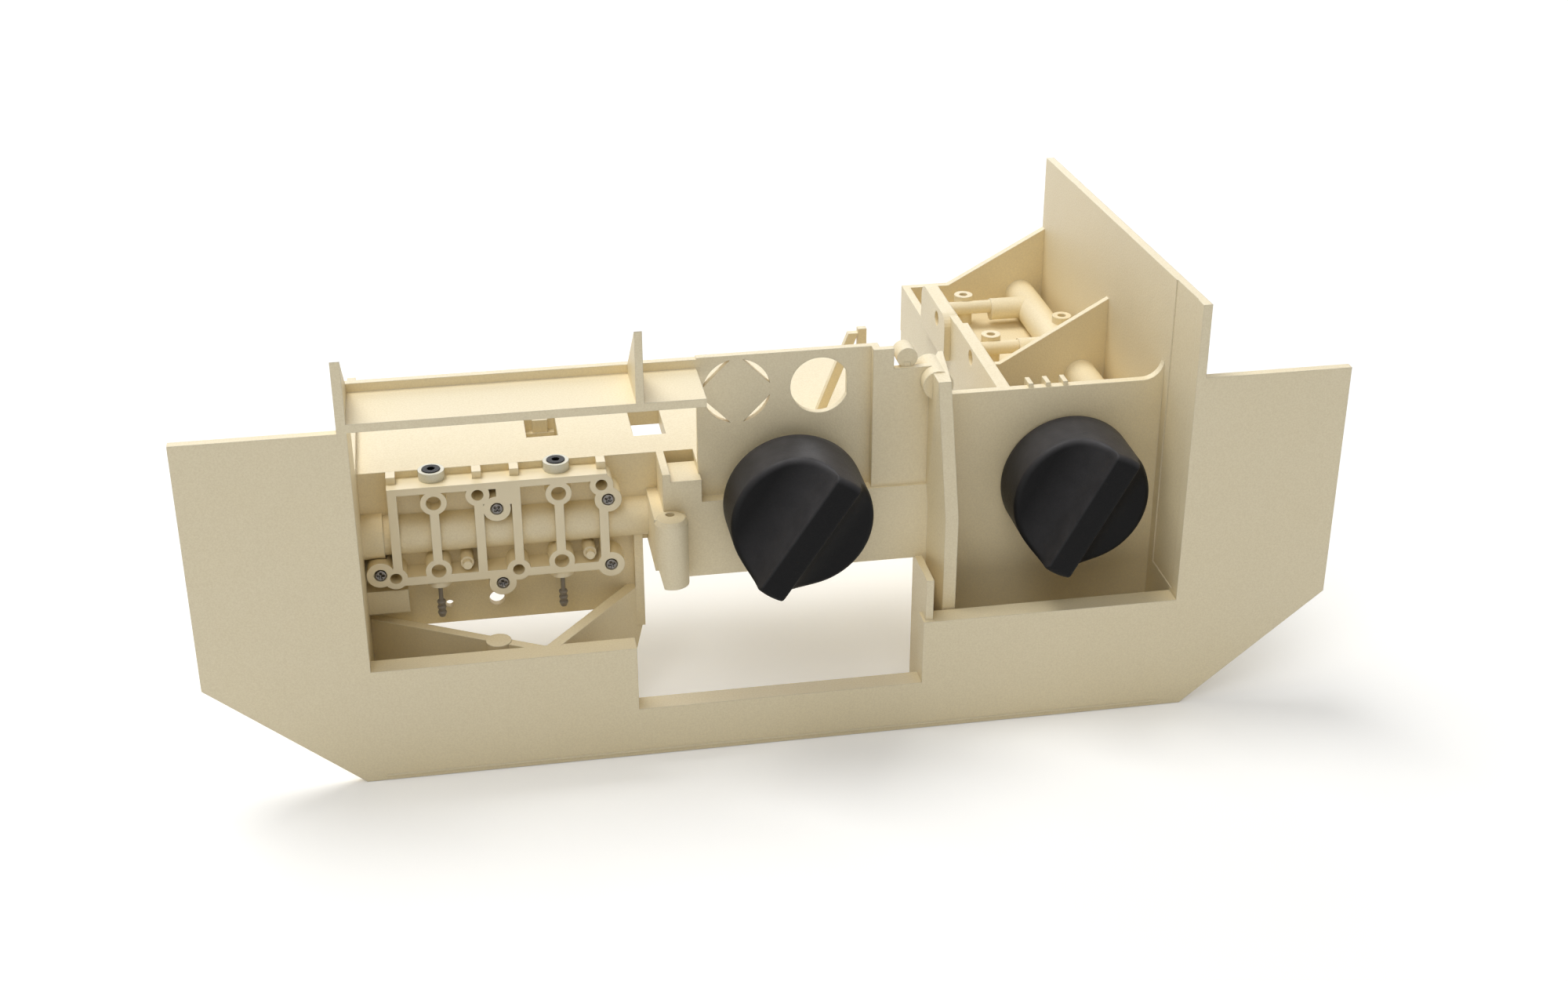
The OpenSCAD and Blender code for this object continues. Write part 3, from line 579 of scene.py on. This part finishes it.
GROUP_MAKERS = {
    "moulded_grain": grain_group, "rounded_edges": edge_group,
    "tone_drift_and_painted_shade": drift_and_painted_shade_group, "fine_dust": dust_group,
}


def group_named(name):
    """The shader group of that name, made when it is first asked for."""
    return bpy.data.node_groups.get(name) or GROUP_MAKERS[name]()


def rgba(colour):
    """A colour with full alpha."""
    return (*colour, 1.0)


def finish_material(name, tone, drift_and_shade_tone, grain, depth, edge, rough, **look):
    """One material: drift of tone with painted shade in recesses, grain as a bump over rounded
    edges, a painted highlight along the edges, and roughness by the grain.

    grain is the grain's size, depth its height, edge the radius of the edges, all in metres, and
    rough the middle of the roughness. look holds what differs: pits, waves, drift, the strength and
    reach of the painted shade in recesses, speck, speck_tone, the amount and tone of the dust with
    painted light on faces that look up, the tone and strength of the painted edge highlight,
    rough_span and the constant sockets of the Principled BSDF.
    """
    mat = bpy.data.materials.new(name)
    mat.use_nodes = True
    mat.diffuse_color = rgba(tone)
    mat.node_tree.nodes.clear()
    t = Tree(mat.node_tree)
    grains = t.group(group_named("moulded_grain"), {
        "Size": grain, "Pits": look.get("pits", 0.5), "Waves": look.get("waves", 0.5)
    })
    edges = t.group(group_named("rounded_edges"), {"Radius": edge})
    # Slow random drift, and painted shade in recesses set by recess and reach.
    drift = t.group(group_named("tone_drift_and_painted_shade"), {
        "Tone": rgba(tone), "Warm": rgba(drift_and_shade_tone), "Drift": look.get("drift", 0.2),
        "Recess": look.get("recess", 0.4), "Reach": look.get("reach", 0.03),
    })
    colour = drift["Color"]
    if "speck" in look:
        mottle = t.math("MULTIPLY", grains["Speck"], look["speck"])
        colour = t.mix(mottle, colour, rgba(look["speck_tone"]))
    # Real dust in the grain, and painted light on the faces that look up.
    if "dust" in look:
        lies = {"Amount": look["dust"], "Speck": grains["Speck"]}
        mask = t.group(group_named("fine_dust"), lies)["Mask"]
        colour = t.mix(mask, colour, rgba(look["dust_tone"]))
    # Painted highlight: the edges are mixed towards the lighter edge tone.
    edge_highlight = t.math("MULTIPLY", edges["Edge"], look.get("edge_gain", 0.3))
    colour = t.mix(edge_highlight, colour, rgba(look.get("edge_tone", tone)))
    bump = t.add("Bump", {
        "Height": grains["Height"], "Normal": edges["Normal"], "Distance": depth, "Strength": 1.0
    })
    span = look.get("rough_span", 0.1)
    roughness = t.spread(grains["Speck"], 0.0, 1.0, rough - span, rough + span)
    shader = t.add("BsdfPrincipled", {
        "Base Color": colour, "Roughness": roughness, "Normal": bump.outputs[0],
        **look.get("sockets", {}),
    })
    t.add("OutputMaterial", {"Surface": shader.outputs[0]})
    return mat


def dress(node, material):
    """Puts a material on a CAD node's object."""
    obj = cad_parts[node]
    obj.data.materials.clear()
    obj.data.materials.append(material)


# ---- operators

class CARRIER_OT_moulding(Operator):
    """Give the carrier its moulded ivory plastic"""

    bl_idname = "carrier.moulding"
    bl_label = "Carrier moulding"

    def execute(self, context):
        s = context.scene.carrier_moulding
        dress("carrier", finish_material(
            "ivory_moulding", s.ivory, s.drift_and_shade_tone,
            grain=s.grain, depth=0.00006, edge=s.edge_round, rough=s.roughness,
            drift=0.08, recess=0.42, reach=0.05, waves=6.0,
            speck=0.5, speck_tone=(0.74, 0.63, 0.42),
            edge_gain=0.35, edge_tone=(0.93, 0.88, 0.76), sockets={"Specular IOR Level": 0.42},
        ))
        return {"FINISHED"}


class CARRIER_OT_block(Operator):
    """Give the connection block its smoother plastic"""

    bl_idname = "carrier.block"
    bl_label = "Connection block"

    def execute(self, context):
        s = context.scene.carrier_moulding
        dress("connection_block", finish_material(
            "block_moulding", s.block_ivory, s.drift_and_shade_tone,
            grain=s.grain * 0.6, depth=0.000015, edge=s.edge_round * 0.8, rough=s.roughness - 0.08,
            drift=0.2, recess=0.4, reach=0.015, waves=4.0,
            edge_gain=0.45, edge_tone=(0.95, 0.91, 0.80), sockets={"Specular IOR Level": 0.5},
        ))
        return {"FINISHED"}


class CARRIER_OT_ports(Operator):
    """Give the port bushes, their seals and the hose barbs their finishes"""

    bl_idname = "carrier.ports"
    bl_label = "Ports and barbs"

    def execute(self, context):
        s = context.scene.carrier_fittings
        bush = finish_material(
            "port_bush", s.bush, (0.58, 0.55, 0.42),
            grain=0.00035, depth=0.000006, edge=0.0003, rough=0.3,
            drift=0.2, recess=0.3, reach=0.004, rough_span=0.06,
        )
        seal = finish_material(
            "rubber_seal", s.seal, (0.03, 0.03, 0.03),
            grain=0.0003, depth=0.000008, edge=0.0003, rough=0.42,
            drift=0.3, recess=0.2, reach=0.003, dust=0.2, dust_tone=(0.02, 0.02, 0.02),
            sockets={"Specular IOR Level": 0.15},
        )
        barb = finish_material(
            "barb_plastic", s.barb, (0.13, 0.10, 0.07),
            grain=0.0003, depth=0.000012, edge=0.00015, rough=0.45,
            drift=0.5, recess=0.5, reach=0.003, edge_gain=0.6, edge_tone=(0.40, 0.37, 0.32),
        )
        for side in ("left", "right"):
            dress(side + "_port_bush", bush)
            dress(side + "_port_seal", seal)
            dress(side + "_hose_barb", barb)
        return {"FINISHED"}


class CARRIER_OT_screws(Operator):
    """Build the five screws with a cross recess and a thread"""

    bl_idname = "carrier.screws"
    bl_label = "Block screws"

    def execute(self, context):
        s = context.scene.carrier_screws
        steel = finish_material(
            "dark_steel", s.steel, (0.10, 0.09, 0.08),
            grain=0.0002, depth=0.00001, edge=0.00008, rough=0.33,
            drift=0.5, recess=0.6, reach=0.0015, edge_gain=0.7, edge_tone=(0.45, 0.44, 0.42),
            sockets={"Metallic": 1.0},
        )
        low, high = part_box("block_screws")
        centres = solid_centres("block_screws")
        parts = [
            screw_mesh(centre, low.y, high.y, s, SCREW_TURN * i)
            for i, centre in enumerate(centres)
        ]
        points, faces = join_grids(parts)
        obj = piece("cross_recess_screws", points, faces, "carrier_body", steel)
        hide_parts("block_screws")
        return {"FINISHED"}


class CARRIER_OT_knobs(Operator):
    """Build the two knobs with rounded rims and concave flanks"""

    bl_idname = "carrier.knobs"
    bl_label = "Knobs"

    def execute(self, context):
        s = context.scene.carrier_knobs
        # The edge tone paints a highlight along the grip's ridge and the rim; the dust is real dust
        # and painted light on the faces that look up.
        black = finish_material(
            "grained_black", s.black, (0.008, 0.008, 0.009),
            grain=0.00042, depth=0.00003, edge=0.0008, rough=0.45,
            drift=0.3, recess=0.0, pits=0.7, waves=0.3, dust=0.5, dust_tone=s.dust,
            edge_gain=0.8, edge_tone=(0.06, 0.06, 0.065), rough_span=0.06,
            sockets={"Specular IOR Level": 0.12},
        )
        for side, body, turn in (
            ("mid", "mid_control", s.mid_turn), ("right", "right_control", s.right_turn)
        ):
            shape = KnobShape(side + "_knob", s, turn)
            points, faces = knob_mesh(shape)
            obj = piece(side + "_turned_knob", points, faces, body, black, sharp=40.0)
            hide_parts(side + "_knob")
        return {"FINISHED"}


class CARRIER_OT_spindles(Operator):
    """Give the spindles, washers and retaining rings their steel"""

    bl_idname = "carrier.spindles"
    bl_label = "Spindles and rings"

    def execute(self, context):
        s = context.scene.carrier_fittings
        steel = finish_material(
            "turned_steel", s.steel, (0.33, 0.31, 0.28),
            grain=0.0004, depth=0.000006, edge=0.0002, rough=0.3,
            drift=0.5, recess=0.4, reach=0.006, edge_gain=0.4, edge_tone=(0.7, 0.69, 0.67),
            sockets={"Metallic": 1.0},
        )
        ring = finish_material(
            "spring_steel", (0.16, 0.15, 0.15), (0.08, 0.07, 0.07),
            grain=0.0003, depth=0.000006, edge=0.00015, rough=0.4,
            drift=0.4, recess=0.3, reach=0.004, edge_gain=0.5, edge_tone=(0.36, 0.35, 0.34),
            sockets={"Metallic": 1.0},
        )
        for side in ("mid", "right"):
            dress(side + "_spindle", steel)
            dress(side + "_washer", steel)
            dress(side + "_retaining_ring", ring)
        return {"FINISHED"}


def ray_shown(t):
    """1 for a ray that shows the background: from the camera, or mirrored or let through."""
    seen = t.add("LightPath").outputs
    shown = t.math("MAXIMUM", seen["Is Camera Ray"], seen["Is Glossy Ray"])
    return t.math("MAXIMUM", shown, seen["Is Transmission Ray"])


def plain_floor_material(colour):
    """Diffuse floor that the camera sees whiter away from the object, up to the surround."""
    mat = bpy.data.materials.new("pale_floor")
    mat.use_nodes = True
    mat.node_tree.nodes.clear()
    t = Tree(mat.node_tree)
    shown = ray_shown(t)
    body = t.add("BsdfDiffuse", {"Color": rgba(colour)})
    place = t.add("TexCoord").outputs["Object"]
    away = t.add("VectorMath", {0: place}, operation="LENGTH").outputs["Value"]
    strength = t.math("MULTIPLY", shown, t.spread(away, *GLOW_SPAN, *GLOW_STRENGTH))
    glow = t.add("Emission", {"Color": rgba(WHITE), "Strength": strength})
    both = t.add("AddShader", {0: body.outputs[0], 1: glow.outputs[0]})
    t.add("OutputMaterial", {"Surface": both.outputs[0]})
    return mat


def soft_light(name, place, target, size, power, colour):
    """A square area light that faces its target."""
    data = bpy.data.lights.new(name, "AREA")
    data.shape, data.size, data.energy, data.color = "SQUARE", size, power, colour
    obj = bpy.data.objects.new(name, data)
    obj.location = place
    back = np.array(place, float) - np.array(target, float)
    tilt = math.acos(back[2] / np.linalg.norm(back))
    obj.rotation_euler = (tilt, 0, math.atan2(back[1], back[0]) + math.pi / 2)
    bpy.context.scene.collection.objects.link(obj)


class CARRIER_OT_stage(Operator):
    """Set the floor, the lights, the white surround and the camera"""

    bl_idname = "carrier.stage"
    bl_label = "Stage"

    def execute(self, context):
        s = context.scene.carrier_stage
        scene = context.scene
        scene.view_settings.view_transform = "Standard"
        self.floor(scene, s)
        self.surround(scene, s)
        for name, place, aim, size, power, colour in (
            ("overhead_soft", (-0.9, 0.7, 3.1), 0.05, 1.8, s.overhead, SOFT_WHITE),
            ("behind_soft", (0.2, 3.2, 1.2), 0.08, 2.4, s.behind, SOFT_WHITE),
            ("front_soft", (-0.7, -2.1, 3.0), 0.06, 2.0, s.front, WHITE),
        ):
            soft_light(name, place, (0, 0, aim), size, power, colour)
        self.camera(scene, s)
        return {"FINISHED"}

    def floor(self, scene, s):
        """A flat grid just under the base."""
        half = s.floor_size / 2
        steps = np.linspace(-half, half, FLOOR_POINTS)
        x, y = np.meshgrid(steps, steps)
        level = np.full(x.size, CAD_BOX[0].z - FLOOR_DROP)
        points = np.stack([x.ravel(), y.ravel(), level], 1)
        mesh = bpy.data.meshes.new("floor")
        faces = grid_faces(FLOOR_POINTS, FLOOR_POINTS, False)
        mesh.from_pydata(points.tolist(), [], faces.tolist())
        mesh.materials.append(plain_floor_material(s.floor))
        floor = bpy.data.objects.new("floor", mesh)
        scene.collection.objects.link(floor)

    def surround(self, scene, s):
        """White where it is seen directly or in gloss, and an even light elsewhere."""
        world = bpy.data.worlds.new("white_surround")
        world.use_nodes = True
        world.node_tree.nodes.clear()
        t = Tree(world.node_tree)
        strength = t.spread(ray_shown(t), 0.0, 1.0, s.surround, 1.0)
        back = t.add("Background", {"Color": rgba(WHITE), "Strength": strength})
        t.add("OutputWorld", {"Surface": back.outputs[0]})
        scene.world = world

    def camera(self, scene, s):
        """The photograph's place and angle, worked out from the moulding's own edges."""
        data = bpy.data.cameras.new("photo_camera")
        data.lens, data.sensor_width, data.sensor_fit = s.lens, SENSOR_WIDTH, "HORIZONTAL"
        data.clip_start, data.clip_end = 0.01, 50.0
        obj = bpy.data.objects.new("photo_camera", data)
        obj.location = CAMERA_PLACE
        obj.rotation_euler = (CAMERA_TILT, 0, CAMERA_TURN)
        scene.collection.objects.link(obj)
        scene.camera = obj


OPERATORS = (
    CARRIER_OT_stage, CARRIER_OT_moulding, CARRIER_OT_block, CARRIER_OT_ports,
    CARRIER_OT_screws, CARRIER_OT_knobs, CARRIER_OT_spindles,
)


class CARRIER_PT_pieces(Panel):
    """Lists the carrier's pieces and settings"""

    bl_label = "Connection Block Carrier"
    bl_idname = "CARRIER_PT_pieces"
    bl_space_type = "VIEW_3D"
    bl_region_type = "UI"
    bl_category = "Carrier"

    def draw(self, context):
        for name in SETTINGS:
            box = self.layout.box()
            group = getattr(context.scene, name)
            for prop in group.bl_rna.properties:
                if prop.identifier not in {"name", "rna_type"}:
                    box.prop(group, prop.identifier)
        for operator in OPERATORS:
            self.layout.operator(operator.bl_idname)


SETTINGS = {
    "carrier_moulding": MouldingSettings, "carrier_knobs": KnobSettings,
    "carrier_screws": ScrewSettings, "carrier_fittings": FittingSettings,
    "carrier_stage": StageSettings,
}


def register():
    """Registers the settings, operators and panel."""
    for group in SETTINGS.values():
        bpy.utils.register_class(group)
    for cls in (*OPERATORS, CARRIER_PT_pieces):
        bpy.utils.register_class(cls)
    for name, group in SETTINGS.items():
        setattr(bpy.types.Scene, name, PointerProperty(type=group))


def unregister():
    """Takes the panel, operators and settings out again."""
    for name in SETTINGS:
        delattr(bpy.types.Scene, name)
    for cls in (CARRIER_PT_pieces, *reversed(OPERATORS)):
        bpy.utils.unregister_class(cls)
    for group in reversed(SETTINGS.values()):
        bpy.utils.unregister_class(group)


def main():
    """Registers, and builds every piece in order."""
    register()
    bpy.ops.carrier.stage()
    bpy.ops.carrier.moulding()
    bpy.ops.carrier.block()
    bpy.ops.carrier.ports()
    bpy.ops.carrier.screws()
    bpy.ops.carrier.knobs()
    bpy.ops.carrier.spindles()
    bpy.context.view_layer.update()


if __name__ == "__main__":
    main()
